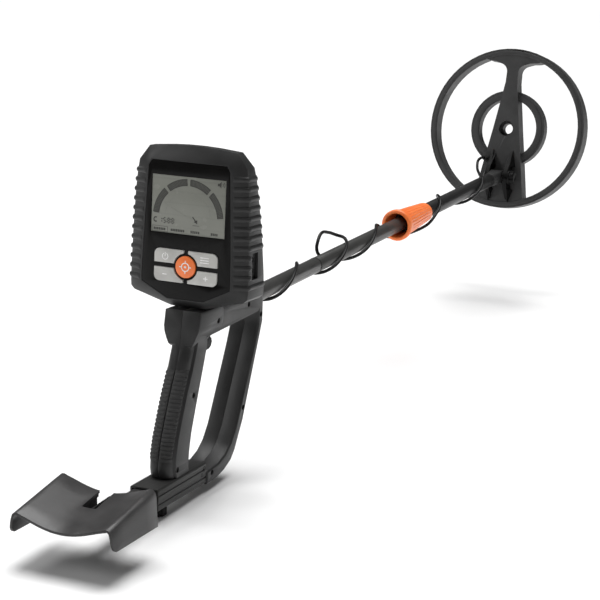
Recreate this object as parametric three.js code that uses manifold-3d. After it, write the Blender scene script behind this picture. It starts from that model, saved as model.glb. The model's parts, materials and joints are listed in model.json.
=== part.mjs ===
// Hand-held metal detector: D-handle with control box, telescoping shaft and open search coil.
// Millimetres, +Z up. +Y runs forward along the shaft, +X is the user's right.
// Everything is laid out from a point on the shaft axis; the exported group is then moved
// so that the middle of the grip is the origin.
import * as THREE from 'three';
import { mergeVertices } from 'three/addons/utils/BufferGeometryUtils.js';
import { ConvexGeometry } from 'three/addons/geometries/ConvexGeometry.js';
import Module from 'manifold-3d';

// ---------- driving dimensions ----------
const GAP = 0.3; // free space between touching pieces
const GRIP_HOLD = [0, -213, -80]; // middle of the grip

const UPPER_R = 9.5; // tube that carries the handle
const MID_R = 9.4; // tube plugged into it
const LOWER_R = 10.3; // outer, sliding tube
const TUBE_WALL = 1.2;
const LOWER_BORE_R = MID_R + 0.35;
const UPPER_REAR = -165;
const SEAM_Y = 150; // joint between upper and middle tube
const MID_FRONT = 572;
const LOWER_REAR = 457;
const LOWER_FRONT = 836;
const COLLAR_REAR = 422;
const COLLAR_FRONT = 530;
const CABLE_R = 2.1;

const HEAD_HALF = 21.5; // half widths of the handle
const BEAM_HALF = 18;
const GRIP_HALF = 15;
const LOBE_HALF = 12.6; // half width of the rear lobe of the grip
const SHELL_WALL = 2.4;
const PAD_DEPTH = 1.8; // rubber grip pad thickness

const RAIL_SLOPE = 1.6; // degrees, lower beam rises to the rear
const FOOT_BEAM_HALF = 16.6;
const FOOT_BEAM_H = 24;
const FOOT_BEAM_WALL = 2.4;

const BOX_LEAN = 3.3; // degrees, display tips away from the user
const BOX_AT = [0, -185.4, 100];
const BEVEL_DEPTH = 8; // face plate stands this far in front of the side walls
const BOX_WALL = 2.4;
const PLATE_T = 2.2;
const LCD_HALF_W = 43.2;
const LCD_H = 61;
const PAD_CENTRE_Z = -33.5;
const BUTTON_R = 11.6;

const PIVOT_Y = 857.5; // coil hinge, on the shaft axis
const COIL_TURN = 77.3; // degrees between coil plane and shaft
const COIL_CENTRE = [0, 891.2, 71.2];
const COIL_R = 125;
const RING_W = 10;
const COIL_T = 24;
const INNER_RING_R = 60;
const INNER_RING_W = 13.5;
const INNER_RING_DROP = 8;
const COVER_T = 2.4;
const EAR_IN = 11.6;
const EAR_OUT = 17.6;

// ---------- materials ----------
const finish = (color, roughness, metalness = 0) =>
  new THREE.MeshStandardMaterial({ color, roughness, metalness });
const charcoal = () => finish(0x343434, 0.6);
const black = () => finish(0x171716, 0.35);
const rubber = () => finish(0x262626, 0.8);
const orange = () => finish(0xff7038, 0.4);
const steel = () => finish(0xa0a0a0, 0.3, 1);
const copper = () => finish(0xb06a3a, 0.4, 1);
const greyTube = () => finish(0x5a5a58, 0.35, 0.6);

// ---------- solids ----------
const wasm = await Module();
wasm.setup();

function solid(geometry) {
  const bare = geometry.clone();
  for (const name of Object.keys(bare.attributes)) if (name !== 'position') bare.deleteAttribute(name);
  const merged = mergeVertices(bare, 1e-4);
  const faces = [];
  for (let i = 0; i < merged.index.count; i += 3) {
    const [a, b, c] = merged.index.array.slice(i, i + 3);
    if (a !== b && b !== c && c !== a) faces.push(a, b, c);
  }
  return new wasm.Manifold(new wasm.Mesh({
    numProp: 3,
    vertProperties: Float32Array.from(merged.attributes.position.array),
    triVerts: Uint32Array.from(faces),
  }));
}

function geometryOf(manifold) {
  const mesh = manifold.getMesh();
  const geometry = new THREE.BufferGeometry();
  geometry.setAttribute('position', new THREE.BufferAttribute(new Float32Array(mesh.vertProperties), 3));
  geometry.setIndex(new THREE.BufferAttribute(new Uint32Array(mesh.triVerts), 1));
  return geometry;
}

const cut = (body, ...tools) => tools.reduce((left, tool) => left.subtract(tool), body);
const join = (first, ...others) => others.reduce((sum, part) => sum.add(part), first);

const vectors = (points) => points.map(([a, b]) => new THREE.Vector2(a, b));

function block(x0, x1, y0, y1, z0, z1) {
  const geometry = new THREE.BoxGeometry(x1 - x0, y1 - y0, z1 - z0);
  return geometry.translate((x0 + x1) / 2, (y0 + y1) / 2, (z0 + z1) / 2);
}

// A side view (y, z) outline filled between x = -half and x = half, with its edges rounded.
function sidePlate(outline, half, round = 0, steps = 1) {
  const run = THREE.ShapeUtils.area(vectors(outline)) > 0 ? outline : [...outline].reverse();
  const near = round > 0 ? [] : [[-half, 0]];
  for (let i = 0; round > 0 && i <= steps; i++) {
    const angle = ((i / steps) * Math.PI) / 2;
    near.push([-half + round * (1 - Math.cos(angle)), round * (1 - Math.sin(angle))]);
  }
  const across = [...near, ...near.map(([x, drawnIn]) => [-x, drawnIn]).reverse()];
  return loft(across.map(([x, drawnIn]) =>
    inset(run, drawnIn).map(([y, z]) => new THREE.Vector3(x, y, z))), (p) => [p.y, p.z]);
}

// A front view (x, z) outline, filled between two depths along +Y.
function frontPlate(outline, yNear, yFar, holes = []) {
  const shape = new THREE.Shape(vectors(outline));
  shape.holes = holes.map((hole) => new THREE.Path(vectors(hole)));
  const geometry = new THREE.ExtrudeGeometry(shape, { depth: yFar - yNear, bevelEnabled: false });
  return geometry.rotateX(Math.PI / 2).translate(0, yFar, 0);
}

// A turned piece about the Y axis, from (radius, y) points.
function turned(points, sides = 48) {
  return new THREE.LatheGeometry(vectors([...points, points[0]]), sides);
}

function rod(radius, y0, y1, sides = 32) {
  return new THREE.LatheGeometry(vectors([[0, y0], [radius, y0], [radius, y1], [0, y1]]), sides);
}

const pipe = (outer, inner, y0, y1, sides = 48) =>
  turned([[inner, y0], [outer, y0], [outer, y1], [inner, y1]], sides);

const toX = (geometry) => geometry.rotateZ(-Math.PI / 2); // axis Y becomes axis X
const toZ = (geometry) => geometry.rotateX(Math.PI / 2); // axis Y becomes axis Z

// Outline moved inward by a distance; the outline runs counter-clockwise.
function inset(outline, distance) {
  const at = (i) => outline[(i + outline.length) % outline.length];
  return outline.map((point, i) => {
    const before = new THREE.Vector2(point[0] - at(i - 1)[0], point[1] - at(i - 1)[1]).normalize();
    const after = new THREE.Vector2(at(i + 1)[0] - point[0], at(i + 1)[1] - point[1]).normalize();
    const normal = new THREE.Vector2(-before.y - after.y, before.x + after.x).normalize();
    const reach = distance / Math.max(0.5, normal.dot(new THREE.Vector2(-before.y, before.x)));
    return [point[0] + normal.x * reach, point[1] + normal.y * reach];
  });
}

const mirrored = (right) => [...right, ...right.map(([x, z]) => [-x, z]).reverse()];

function arc(radius, from, to, steps, cx = 0, cy = 0) {
  return Array.from({ length: steps + 1 }, (_, i) => {
    const angle = THREE.MathUtils.degToRad(from + ((to - from) * i) / steps);
    return [cx + radius * Math.cos(angle), cy + radius * Math.sin(angle)];
  });
}

const ring = (radius, steps = 48, cx = 0, cy = 0) => arc(radius, 0, 360, steps, cx, cy).slice(0, -1);

// A skin through stations that all have the same number of points, closed at both ends.
// Seen from where the stations run to, each station's outline runs counter-clockwise.
function loft(stations, flatten) {
  const count = stations[0].length;
  const faces = [];
  for (let s = 0; s + 1 < stations.length; s++) {
    for (let i = 0; i < count; i++) {
      const a = s * count + i;
      const b = s * count + ((i + 1) % count);
      faces.push(a, b, a + count, b, b + count, a + count);
    }
  }
  const flat = vectors(stations[0].map(flatten));
  const last = (stations.length - 1) * count;
  const turn = Math.sign(THREE.ShapeUtils.area(flat));
  for (const [a, b, c] of THREE.ShapeUtils.triangulateShape(flat, [])) {
    const [p, q] = THREE.ShapeUtils.area([flat[a], flat[b], flat[c]]) * turn > 0 ? [a, b] : [b, a];
    faces.push(c, q, p, last + p, last + q, last + c);
  }
  const geometry = new THREE.BufferGeometry().setFromPoints(stations.flat());
  geometry.setIndex(faces);
  return geometry;
}

function piece(name, geometry, material) {
  const mesh = new THREE.Mesh(geometry, material);
  mesh.name = name;
  return mesh;
}

const rad = THREE.MathUtils.degToRad;
const detector = new THREE.Group();
detector.position.set(-GRIP_HOLD[0], -GRIP_HOLD[1], -GRIP_HOLD[2]);

// ---------- shaft tubes ----------
const shaft = new THREE.Group();
detector.add(shaft);
shaft.add(
  piece('upper_tube', pipe(UPPER_R, UPPER_R - TUBE_WALL, UPPER_REAR, SEAM_Y - 1), greyTube()),
  piece('seam_ring', pipe(UPPER_R + 0.3, UPPER_R - TUBE_WALL + 0.1, SEAM_Y - 1 + GAP, SEAM_Y + 1), rubber()),
  piece('mid_tube', pipe(MID_R, MID_R - TUBE_WALL, SEAM_Y + 1 + GAP, MID_FRONT), greyTube()),
  piece('tube_ferrule', pipe(7.9, 5.9, SEAM_Y - 38, SEAM_Y + 38, 32), charcoal()),
  piece('rear_plug', rod(8, UPPER_REAR + 1, UPPER_REAR + 13), charcoal()),
  piece('lower_tube', pipe(LOWER_R, LOWER_BORE_R, LOWER_REAR, LOWER_FRONT - 22), black()),
);

// Twist lock: a wide mouth at the rear, fluted and tapering to the front, around a collet.
const COLLAR_FLUTES = 12;
function lockCollar() {
  const outline = [
    [16.5, COLLAR_REAR + 1], [17.5, COLLAR_REAR], [20, COLLAR_REAR], [21.3, COLLAR_REAR + 2],
    [21.3, COLLAR_REAR + 7], [20, COLLAR_REAR + 10], [18.6, COLLAR_REAR + 13],
    [17.2, COLLAR_REAR + 45], [15, COLLAR_REAR + 80], [13.6, COLLAR_FRONT - 4],
    [12.6, COLLAR_FRONT], [LOWER_R + 0.35, COLLAR_FRONT], [LOWER_R + 0.35, COLLAR_REAR + 70],
    [13.5, COLLAR_REAR + 70], [13.5, COLLAR_REAR + 22], [16.2, COLLAR_REAR + 18],
  ];
  const geometry = turned(outline, COLLAR_FLUTES * 3);
  const position = geometry.attributes.position;
  for (let i = 0; i < position.count; i++) {
    const y = position.getY(i);
    const r = Math.hypot(position.getX(i), position.getZ(i));
    if (y < COLLAR_REAR + 12 || y > COLLAR_FRONT - 1 || r < 13.55) continue;
    const turn = Math.atan2(position.getZ(i), position.getX(i)) * COLLAR_FLUTES;
    const scale = 1 - (0.8 * Math.max(0, Math.cos(turn))) / r;
    position.setX(i, position.getX(i) * scale);
    position.setZ(i, position.getZ(i) * scale);
  }
  return geometry;
}
shaft.add(
  piece('lock_collar', lockCollar(), orange()),
  piece('lock_collet', turned([
    [LOWER_BORE_R, COLLAR_REAR + 24], [12, COLLAR_REAR + 24], [13.1, COLLAR_REAR + 30],
    [13.1, COLLAR_REAR + 66], [LOWER_R + GAP, COLLAR_REAR + 66],
    [LOWER_R + GAP, LOWER_REAR - GAP], [LOWER_BORE_R, LOWER_REAR - GAP],
  ], 32), rubber()),
);

// Moulded end of the lower tube: a stem in the tube and an eye for the coil bolt.
const BOLT_R = 3;
const eyeStem = solid(rod(LOWER_BORE_R - 0.25, LOWER_FRONT - 46, LOWER_FRONT - 21.6));
const eyeBody = solid(new ConvexGeometry([
  ...ring(LOWER_R, 32).map(([x, z]) => new THREE.Vector3(x, LOWER_FRONT - 21.6, z)),
  ...[-9.6, 9.6].flatMap((x) => ring(9.6, 28).map(([y, z]) => new THREE.Vector3(x, PIVOT_Y + y, z))),
]));
const boltHole = solid(toX(rod(BOLT_R + 0.35, -30, 30)).translate(0, PIVOT_Y, 0));
shaft.add(piece('tube_eye', geometryOf(cut(join(eyeStem, eyeBody), boltHole)), charcoal()));

// ---------- handle ----------
const head = [
  [-193, 21], [-196.8, 4], [-198.8, -14.6], [-196.4, -17], [-165, -17], [-158, -12], [-140, -10],
  [-138, 13], [-142, 18.6],
];
const topBeam = [[-170, -12.5], [-34, -12.5], [-34, 13], [-170, 13]];
const strut = [
  [-36, 5], [-33.6, -2], [-34.3, -24], [-41.5, -40], [-60.7, -81.5], [-82, -128], [-92, -143],
  [-101, -157], [-111, -166.5], [-127, -173], [-143, -176.2], [-168, -176.2], [-168, -162.2],
  [-140, -160.5], [-124, -155.5], [-111, -146.5], [-99, -131.5], [-76, -89], [-54.2, -48], [-44.8, -27], [-44.3, 5],
].reverse();
// Grip: [height, rear, front] from the bottom up, a rounded rear lobe ahead of which the sides are flat.
const GRIP_LINE = [
  [-152, -242, -205.4], [-145, -245.6, -205.4], [-138, -247, -205.4], [-128, -246.2, -204.2],
  [-108, -241, -199.3], [-84, -231, -189.9], [-63, -221.5, -181.5], [-41, -210, -172.4],
  [-22, -201.5, -165], [-5, -196, -163],
];
const LOBE = 10; // length of the rear lobe
const PAD_LOW = -134;
const PAD_HIGH = -34;
function gripSection(rear, front, depth) {
  const groove = rear + LOBE;
  const side = [
    [GRIP_HALF - 1.2, front], [GRIP_HALF, front - 1.2],
    [GRIP_HALF, groove + 1.8], [GRIP_HALF - 1, groove + 0.6], [LOBE_HALF, groove - 0.6]];
  const lobe = arc(1, 16, 62, 3).map(([across, back]) => [
    LOBE_HALF * across ** 0.8, groove - 0.6 - (LOBE - 0.6) * back ** 0.8]);
  const right = [...(depth > 0 ? [[GRIP_HALF, front]] : side), ...lobe, [4, rear]];
  return inset(mirrored(right).reverse(), depth);
}
const gripSolid = (depth = 0) => solid(loft(GRIP_LINE.map(([z, rear, front]) =>
  gripSection(rear, front, depth).map(([x, y]) => new THREE.Vector3(x, y, z))), (p) => [p.x, p.y]));
const padSpan = GRIP_LINE.filter(([z]) => z > PAD_LOW && z < PAD_HIGH);
const padZone = [
  ...padSpan.map(([z, rear]) => [rear + LOBE - 1.6, z]),
  ...padSpan.map(([z, rear]) => [rear - 9, z]).reverse(),
];
const headWidth = (depth) => solid(frontPlate(
  inset(mirrored([[12.4, -17.5], [16.5, -10], [20, -1], [HEAD_HALF + 0.2, 9], [HEAD_HALF + 0.2, 25]]), depth),
  -230, -120));
const beamRoom = solid(sidePlate([[-270, -148.06], [-190, -150.3], [-190, -190], [-270, -190]], 30));

const handleSolid = cut(join(
  gripSolid(), solid(sidePlate(topBeam, BEAM_HALF, 4.5, 2)), solid(sidePlate(strut, BEAM_HALF, 1.6, 1)),
  solid(sidePlate(head, HEAD_HALF, 2.5, 2)).intersect(headWidth(0))), beamRoom);
const handleCore = join(
  gripSolid(SHELL_WALL + PAD_DEPTH).intersect(solid(block(-20, 20, -300, 0, -144, 0))),
  solid(sidePlate(inset(topBeam, SHELL_WALL), BEAM_HALF - SHELL_WALL - 1.5, 2)),
  solid(sidePlate(inset(strut, SHELL_WALL), BEAM_HALF - SHELL_WALL)),
  solid(sidePlate(inset(head, SHELL_WALL), HEAD_HALF - SHELL_WALL - 0.5)).intersect(headWidth(SHELL_WALL)),
);
const zone = (margin) => solid(sidePlate(inset(padZone, -margin), GRIP_HALF + 5));
const padRecess = cut(zone(GAP), gripSolid(PAD_DEPTH + GAP));
const tubeBore = solid(rod(UPPER_R + GAP, UPPER_REAR - 0.5, -20, 48));
const spigot = solid(sidePlate(
  [[-178.5, -171], [-160, -171.6], [-160, -164], [-168.2, -163.4], [-168.2, -156], [-178.5, -155.6]],
  FOOT_BEAM_HALF - FOOT_BEAM_WALL - 0.6));

// Trigger: pressed rearward into a pocket in the front of the grip.
const TRIGGER_HALF = 10;
const triggerOutline = [
  [-178, -30], [-158, -30.3], [-150, -30], [-145.5, -27.8], [-143, -23], [-144.5, -18.2], [-149, -15.2],
  [-158, -14.8], [-178, -15],
];
const triggerSlot = solid(sidePlate(
  [[-190, -31], [-140, -31], [-140, -13.6], [-190, -13.6]], TRIGGER_HALF + 0.5));

// Frame screws from the right-hand side, through both halves.
const frameScrews = [
  [-150.5, 2.9], [-71, 2.9], [-39.5, -15.5], [-196, -68.6], [-82, -113.2], [-231, -140.5], [-157, -166]];
const shankFrom = (z) => (z > -10 ? UPPER_R + 0.5 : -7.5); // beside the tube, or through to the left
const screwHead = (x0, x1, y, z, r = 3) => toX(rod(r, x0, x1, 16)).translate(0, y, z);

const wholeHandle = cut(join(handleSolid, spigot), handleCore, padRecess, tubeBore, triggerSlot);
const SCREW_SEAT = 13.2;
const screwPosts = frameScrews.map(([y, z]) => solid(screwHead(-HEAD_HALF, HEAD_HALF, y, z, 4.6)));
function halfHandle(side) {
  const keep = side > 0 ? block(0.15, 40, -300, 0, -220, 60) : block(-40, -0.15, -300, 0, -220, 60);
  let half = join(wholeHandle, ...screwPosts.map((post) => post.intersect(handleSolid)));
  half = cut(half, tubeBore, triggerSlot, padRecess).intersect(solid(keep));
  const holes = frameScrews.map(([y, z]) => solid(screwHead(-8, 40, y, z, 2)));
  const seats = frameScrews.map(([y, z]) => solid(screwHead(SCREW_SEAT - 3, 40, y, z, 3.2)));
  return cut(half, ...holes, ...(side > 0 ? seats : []));
}
const handle = new THREE.Group();
detector.add(handle);
for (const [side, name] of [[1, 'right'], [-1, 'left']]) {
  const half = side > 0 ? block(0.2, 30, -300, 0, -200, 0) : block(-30, -0.2, -300, 0, -200, 0);
  handle.add(piece(`handle_${name}`, geometryOf(halfHandle(side)), charcoal()));
  const pad = cut(gripSolid().intersect(zone(0)), gripSolid(PAD_DEPTH));
  handle.add(piece(`grip_pad_${name}`, geometryOf(pad.intersect(solid(half))), rubber()));
}
frameScrews.forEach(([y, z], i) => handle.add(piece(`frame_screw_${i + 1}`, geometryOf(join(
  solid(screwHead(shankFrom(z), SCREW_SEAT - 2, y, z, 1.6)),
  solid(screwHead(SCREW_SEAT - 2.7, SCREW_SEAT, y, z, 2.8)),
)), steel())));
handle.add(piece('trigger', sidePlate(triggerOutline, TRIGGER_HALF, 2, 2), black()));

// ---------- foot beam, rail and arm cuff ----------
// Drawn level with its top face at z = 0 and its front end at y = 0, then placed at a slope.
const foot = new THREE.Group();
foot.position.set(0, -168.5, -151.2);
foot.rotation.x = rad(-RAIL_SLOPE);
detector.add(foot);

const BEAM_LENGTH = 107;
const SCREW_Y = -80; // thumb screw, from the front end of the beam
const RAIL_FRONT = -47;
const RAIL_REAR = -238;
const RAIL_TAPER = -205;
const RAIL_HALF = 12;
const RAIL_TOP = -3;
const RAIL_BOTTOM = -16;
function footBeam() {
  const right = [[FOOT_BEAM_HALF - 1.5, -FOOT_BEAM_H], [FOOT_BEAM_HALF, -FOOT_BEAM_H + 1.5]];
  for (const groove of [16.4, 7.2]) {
    right.push([FOOT_BEAM_HALF, -groove - 1], [FOOT_BEAM_HALF - 0.9, -groove - 0.3],
      [FOOT_BEAM_HALF - 0.9, -groove + 0.3], [FOOT_BEAM_HALF, -groove + 1]);
  }
  right.push([FOOT_BEAM_HALF, -1.5], [FOOT_BEAM_HALF - 1.5, 0]);
  const inside = mirrored([
    [FOOT_BEAM_HALF - FOOT_BEAM_WALL, -FOOT_BEAM_H + FOOT_BEAM_WALL],
    [FOOT_BEAM_HALF - FOOT_BEAM_WALL, -FOOT_BEAM_WALL]]);
  const tube = frontPlate(mirrored(right), -BEAM_LENGTH, 0, [inside]);
  return cut(solid(tube), solid(toZ(rod(3.35, -30, -15, 20)).translate(0, SCREW_Y, 0)));
}
foot.add(piece('foot_beam', geometryOf(footBeam()), finish(0x3c3c3a, 0.5, 0.2)));

function cuffRail() {
  const body = solid(sidePlate([
    [RAIL_REAR, RAIL_TOP - 4], [RAIL_TAPER, RAIL_BOTTOM], [RAIL_FRONT, RAIL_BOTTOM], [RAIL_FRONT, RAIL_TOP],
    [RAIL_REAR, RAIL_TOP]], RAIL_HALF));
  const channels = [-1, 1].map((s) => solid(sidePlate([
    [RAIL_REAR - 1, RAIL_BOTTOM - 1], [RAIL_FRONT - 50, RAIL_BOTTOM - 1], [RAIL_FRONT - 50, RAIL_TOP - 2.5],
    [RAIL_REAR - 1, RAIL_TOP - 2.5]], 3.6).translate(s * 6, 0, 0)));
  return cut(body, ...channels);
}
foot.add(piece('cuff_rail', geometryOf(cuffRail()), charcoal()));
const finOutline = [[-214, RAIL_TOP + GAP], [-176, RAIL_TOP + GAP], [-176, 11.6], [-214, 9.4]];
foot.add(piece('rail_fin', sidePlate(finOutline, 1.2), black()));

// Arm cuff: a saddle with rounded crests and side walls folded down, deeper at the front.
const SLOT_END = -218;
const CORNER_R = 9; // rounding of the side walls' lower rear corners
const CUFF = { front: -183.5, rear: -270, crestFront: 29.5, crestRear: 14.6, skin: 2.6 };
function cuffSection(y, crestZ, wall, sag) {
  const outer = [];
  const TROUGH_STEPS = 16;
  for (let i = 0; i <= TROUGH_STEPS; i++) {
    const x = -45 + (90 * i) / TROUGH_STEPS;
    outer.push([x, crestZ - 1 - sag * (1 - (x / 47.5) ** 2) ** 1.4 * 1.02]);
  }
  const side = [[48.5, crestZ], [51.5, crestZ - 0.3], [54.2, crestZ - 2.4], [55.6, crestZ - 7],
    [56.2, crestZ - 0.45 * wall], [57, crestZ - 0.75 * wall], [58, crestZ - wall]];
  const top = [...side.map(([x, z]) => [-x, z]).reverse(), ...outer, ...side];
  const under = top.map((point, i) => {
    const a = top[Math.max(0, i - 1)];
    const b = top[Math.min(top.length - 1, i + 1)];
    const run = new THREE.Vector2(b[0] - a[0], b[1] - a[1]).normalize();
    return [point[0] + run.y * CUFF.skin, point[1] - run.x * CUFF.skin];
  }).reverse();
  return [...top, ...under].map(([x, z]) => new THREE.Vector3(x, y, z));
}
function armCuff() {
  const STEPS = 4;
  const stations = Array.from({ length: STEPS + 1 }, (_, i) => {
    const mix = (rear, front) => rear + ((front - rear) * i) / STEPS;
    return cuffSection(mix(CUFF.rear, CUFF.front), mix(CUFF.crestRear, CUFF.crestFront), mix(22, 37), 10.4);
  });
  const skin = solid(loft(stations, (p) => [p.x, p.z]));
  const rear = RAIL_REAR;
  const front = CUFF.front - 2;
  const pedestal = solid(sidePlate(
    [[rear, RAIL_TOP + GAP], [front, RAIL_TOP + GAP], [front, 16.6], [rear, 8]], RAIL_HALF));
  const hollow = solid(sidePlate(
    [[rear + 3, -10], [front + 9, -10], [front + 9, 13.9], [rear + 3, 5.3]], RAIL_HALF - 2.4));
  const slot = solid(block(-8, 8, SLOT_END, CUFF.front + 5, 2, 60));
  const corners = [-1, 1].map((s) => cut(
    solid(block(50, 70, CUFF.rear - 1, CUFF.rear + CORNER_R, -30, -8 + CORNER_R)),
    solid(toX(rod(CORNER_R, 40, 80, 32)).translate(0, CUFF.rear + CORNER_R, -8 + CORNER_R)),
  ).translate(s < 0 ? -120 : 0, 0, 0));
  return cut(join(skin, cut(pedestal, hollow)), slot, ...corners);
}
foot.add(piece('arm_cuff', geometryOf(armCuff()), charcoal()));

// Thumb screw that clamps the rail from below.
const KNOB_LOBES = 10;
const knobOutline = ring(11, KNOB_LOBES * 4).map(([x, y], i) => {
  const scale = 1 - 0.1 * Math.max(0, Math.cos((i / 4) * 2 * Math.PI));
  return [x * scale, y * scale];
});
function lobedKnob(outline, z0, z1) {
  const shape = new THREE.Shape(vectors(outline));
  const options = { depth: z1 - z0 - 2, bevelThickness: 1, bevelSize: 1, bevelOffset: -1, bevelSegments: 1 };
  return new THREE.ExtrudeGeometry(shape, options).translate(0, 0, z0 + 1);
}
const screwStud = rod(3, -FOOT_BEAM_H - 4, RAIL_BOTTOM - GAP, 20);
foot.add(piece('thumb_screw', geometryOf(join(
  solid(lobedKnob(knobOutline, -FOOT_BEAM_H - 13, -FOOT_BEAM_H - 2)), solid(toZ(screwStud)),
)).translate(0, SCREW_Y, 0), black()));

// ---------- control box ----------
// Drawn with the face plate at y = 0 and z up along it, then tipped back on the handle head.
const box = new THREE.Group();
box.position.set(...BOX_AT);
box.rotation.x = rad(-BOX_LEAN);
detector.add(box);

const wallOutline = mirrored([
  [20, -77.4], [64.5, -65.4], [68.5, -61.6], [69, -56.6], [69, -40], [67.9, 0], [66.2, 40], [64.5, 60],
  [62.5, 74], [51, 89.3], [26, 91.6], [8, 92.4],
]);
const plateOutline = mirrored([
  [21, -69.5], [52.4, -54.2], [53, -49.4], [52.3, -20], [51.5, 0], [49.6, 40], [48.7, 60], [48.2, 70],
  [44.2, 76.8],
]);
// Depth of the side walls: the box is slim at the top and deeper towards the batteries.
const WALL_DEPTH = [[-100, 47], [-60, 46], [-49, 45.7], [-27, 43.4], [-5, 40], [16, 36.5], [38, 32],
  [60, 28.5], [74, 25.5], [110, 14]];
function depthAt(z) {
  const next = WALL_DEPTH.findIndex(([height]) => height >= z);
  const [[z0, d0], [z1, d1]] = [WALL_DEPTH[next - 1], WALL_DEPTH[next]];
  return d0 + ((d1 - d0) * (z - z0)) / (z1 - z0);
}
const BACK_BULGE = 12;
const JACKS_Z = [-22, -34];
const JACK_R = 3.1;
function boxHull(wall, faceY) {
  const plate = inset(plateOutline, wall);
  const sides = inset(wallOutline, wall);
  const at = (outline, y) => outline.map(([x, z]) => new THREE.Vector3(x, y(z), z));
  return solid(new ConvexGeometry([
    ...at(plate, () => faceY), ...at(sides, () => BEVEL_DEPTH + wall * 0.4), ...at(sides, depthAt),
    ...sides.map(([x, z]) => new THREE.Vector3(x * 0.8, depthAt(z) + BACK_BULGE - wall, z * 0.85)),
  ]));
}
const seam = (offset) => WALL_DEPTH.map(([z, depth]) => [depth + offset, z]);
const frontSide = solid(sidePlate([[-20, -100], ...seam(-GAP / 2), [-20, 110]], 90));
const backSide = solid(sidePlate([[90, -100], ...seam(GAP / 2), [90, 110]], 90));

const LEDGE_Y = PLATE_T + GAP; // the face plate lies in a recess of this depth
const hull = boxHull(0, 0);
const shellWalls = cut(hull, boxHull(BOX_WALL, 4.4));
const seatOutline = inset(plateOutline, 1.2);
const boardPosts = [[50.2, -46], [46.4, 61]].flatMap(([x, z]) => [[x, z], [-x, z]]);
const socketRecess = solid(block(60, 80, 16, 30, -42, -14));
const socketShelf = solid(block(61.2, 80, 12, 34, -46, -10));
const boxFront = cut(
  join(shellWalls, socketShelf.intersect(hull),
    ...boardPosts.map(([x, z]) => solid(rod(2.6, 3.5, 7.6, 16).translate(x, 0, z)))).intersect(frontSide),
  solid(frontPlate(inset(plateOutline, 1.2 - GAP), -1, LEDGE_Y)),
  solid(frontPlate(inset(plateOutline, 3), 1, 6)),
  socketRecess.intersect(solid(block(64.8, 80, 0, 60, -60, 0))),
  ...JACKS_Z.map((z) => solid(toX(rod(JACK_R + 1, 50, 80, 20)).translate(0, 23, z))),
);
box.add(piece('box_front', geometryOf(boxFront), charcoal()));

const DOOR = { half: 31, low: -48, high: 6 };
const doorColumn = (margin) => solid(block(-DOOR.half - margin, DOOR.half + margin, 30, 80,
  DOOR.low - margin, DOOR.high + margin));
const CABLE_OUT = { x: -43, z: -20, r: 7.2 };
const outlet = (radius, y0, y1) => rod(radius, y0, y1, 24).translate(CABLE_OUT.x, 0, CABLE_OUT.z);
const backShell = cut(
  shellWalls.intersect(backSide), doorColumn(0.4), solid(outlet(CABLE_OUT.r + GAP, 30, 80)));
const boxScrews = [[40, 62], [-40, 62]];
const screwHoles = boxScrews.map(([x, z]) => solid(rod(1.9, 10, 60, 16).translate(x, 0, z)));
box.add(
  piece('box_back', geometryOf(cut(backShell, ...screwHoles)), charcoal()),
  piece('battery_door', geometryOf(shellWalls.intersect(doorColumn(0))), charcoal()),
);
boxScrews.forEach(([x, z], i) => box.add(piece(`box_screw_${i + 1}`, geometryOf(join(
  solid(rod(1.5, 12, 40, 16)), solid(rod(3.2, 39.4, 41.4, 20)))).translate(x, 0, z), steel())));

// Button pads around a round centre button, all pressed along +Y.
const padOutline = [
  [36.8, 2.5], ...arc(6, 0, 90, 4, 30.8, 11.3), [2.6, 17.3], ...arc(14.2, 79.6, 10.2, 6),
];
const keys = { pad_power: [-1, 1], pad_menu: [1, 1], pad_minus: [-1, -1], pad_plus: [1, -1] };
const placed = (outline, [sx, sz]) => outline.map(([x, z]) => [x * sx, z * sz + PAD_CENTRE_Z]);
const windowOutline = (margin) => [
  [-LCD_HALF_W - margin, -margin], [LCD_HALF_W + margin, -margin],
  [LCD_HALF_W + margin, LCD_H + margin], [-LCD_HALF_W - margin, LCD_H + margin]];
const openings = [
  windowOutline(0), ring(BUTTON_R + 0.5, 32, 0, PAD_CENTRE_Z),
  ...Object.values(keys).map((side) => placed(inset(padOutline, -0.4), side)),
];
const speaker = new THREE.LatheGeometry(vectors([[0, 10], [17, 10], [17, 14], [9, 18], [0, 18]]), 32);
box.add(
  piece('face_plate', geometryOf(cut(solid(frontPlate(seatOutline, 0.2, PLATE_T)),
    ...openings.map((outline) => solid(frontPlate(outline, -1, 5))))), black()),
  piece('lcd_panel', geometryOf(join(
    solid(frontPlate(windowOutline(-GAP), 0.9, 3)), solid(frontPlate(windowOutline(0.9), LEDGE_Y, 5)))),
  finish(0x7b7c76, 0.3)),
  piece('circuit_board', frontPlate(inset(plateOutline, 1), 8, 9.6), finish(0x2f5d3a, 0.5)),
  piece('speaker', speaker.translate(0, 0, 34), black()),
  piece('battery_pack', block(-29, 29, 24, 46, -46, 2), finish(0x444444, 0.5)),
  piece('side_sockets', geometryOf(cut(
    solid(block(50, 64.5 - 3.6, 17, 29, -41, -15)),
    ...JACKS_Z.map((z) => solid(toX(rod(JACK_R, 52, 80, 16)).translate(0, 23, z))))), black()),
  piece('pinpoint_button', rod(BUTTON_R, -1.6, 5.6).translate(0, 0, PAD_CENTRE_Z), orange()),
);
for (const [name, side] of Object.entries(keys)) {
  box.add(piece(name, frontPlate(placed(padOutline, side), -1.3, 5.6), finish(0xb9b8b2, 0.5)));
}
box.add(
  piece('cable_socket', outlet(CABLE_OUT.r, 44, 60), black()),
  piece('cable_plug', geometryOf(join(solid(outlet(4.6, 60.3, 76)), solid(outlet(3.4, 75, 84)))), rubber()),
  piece('plug_nut', pipe(8.4, 4.9, 60.4, 70, 24).translate(CABLE_OUT.x, 0, CABLE_OUT.z), black()),
);

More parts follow.
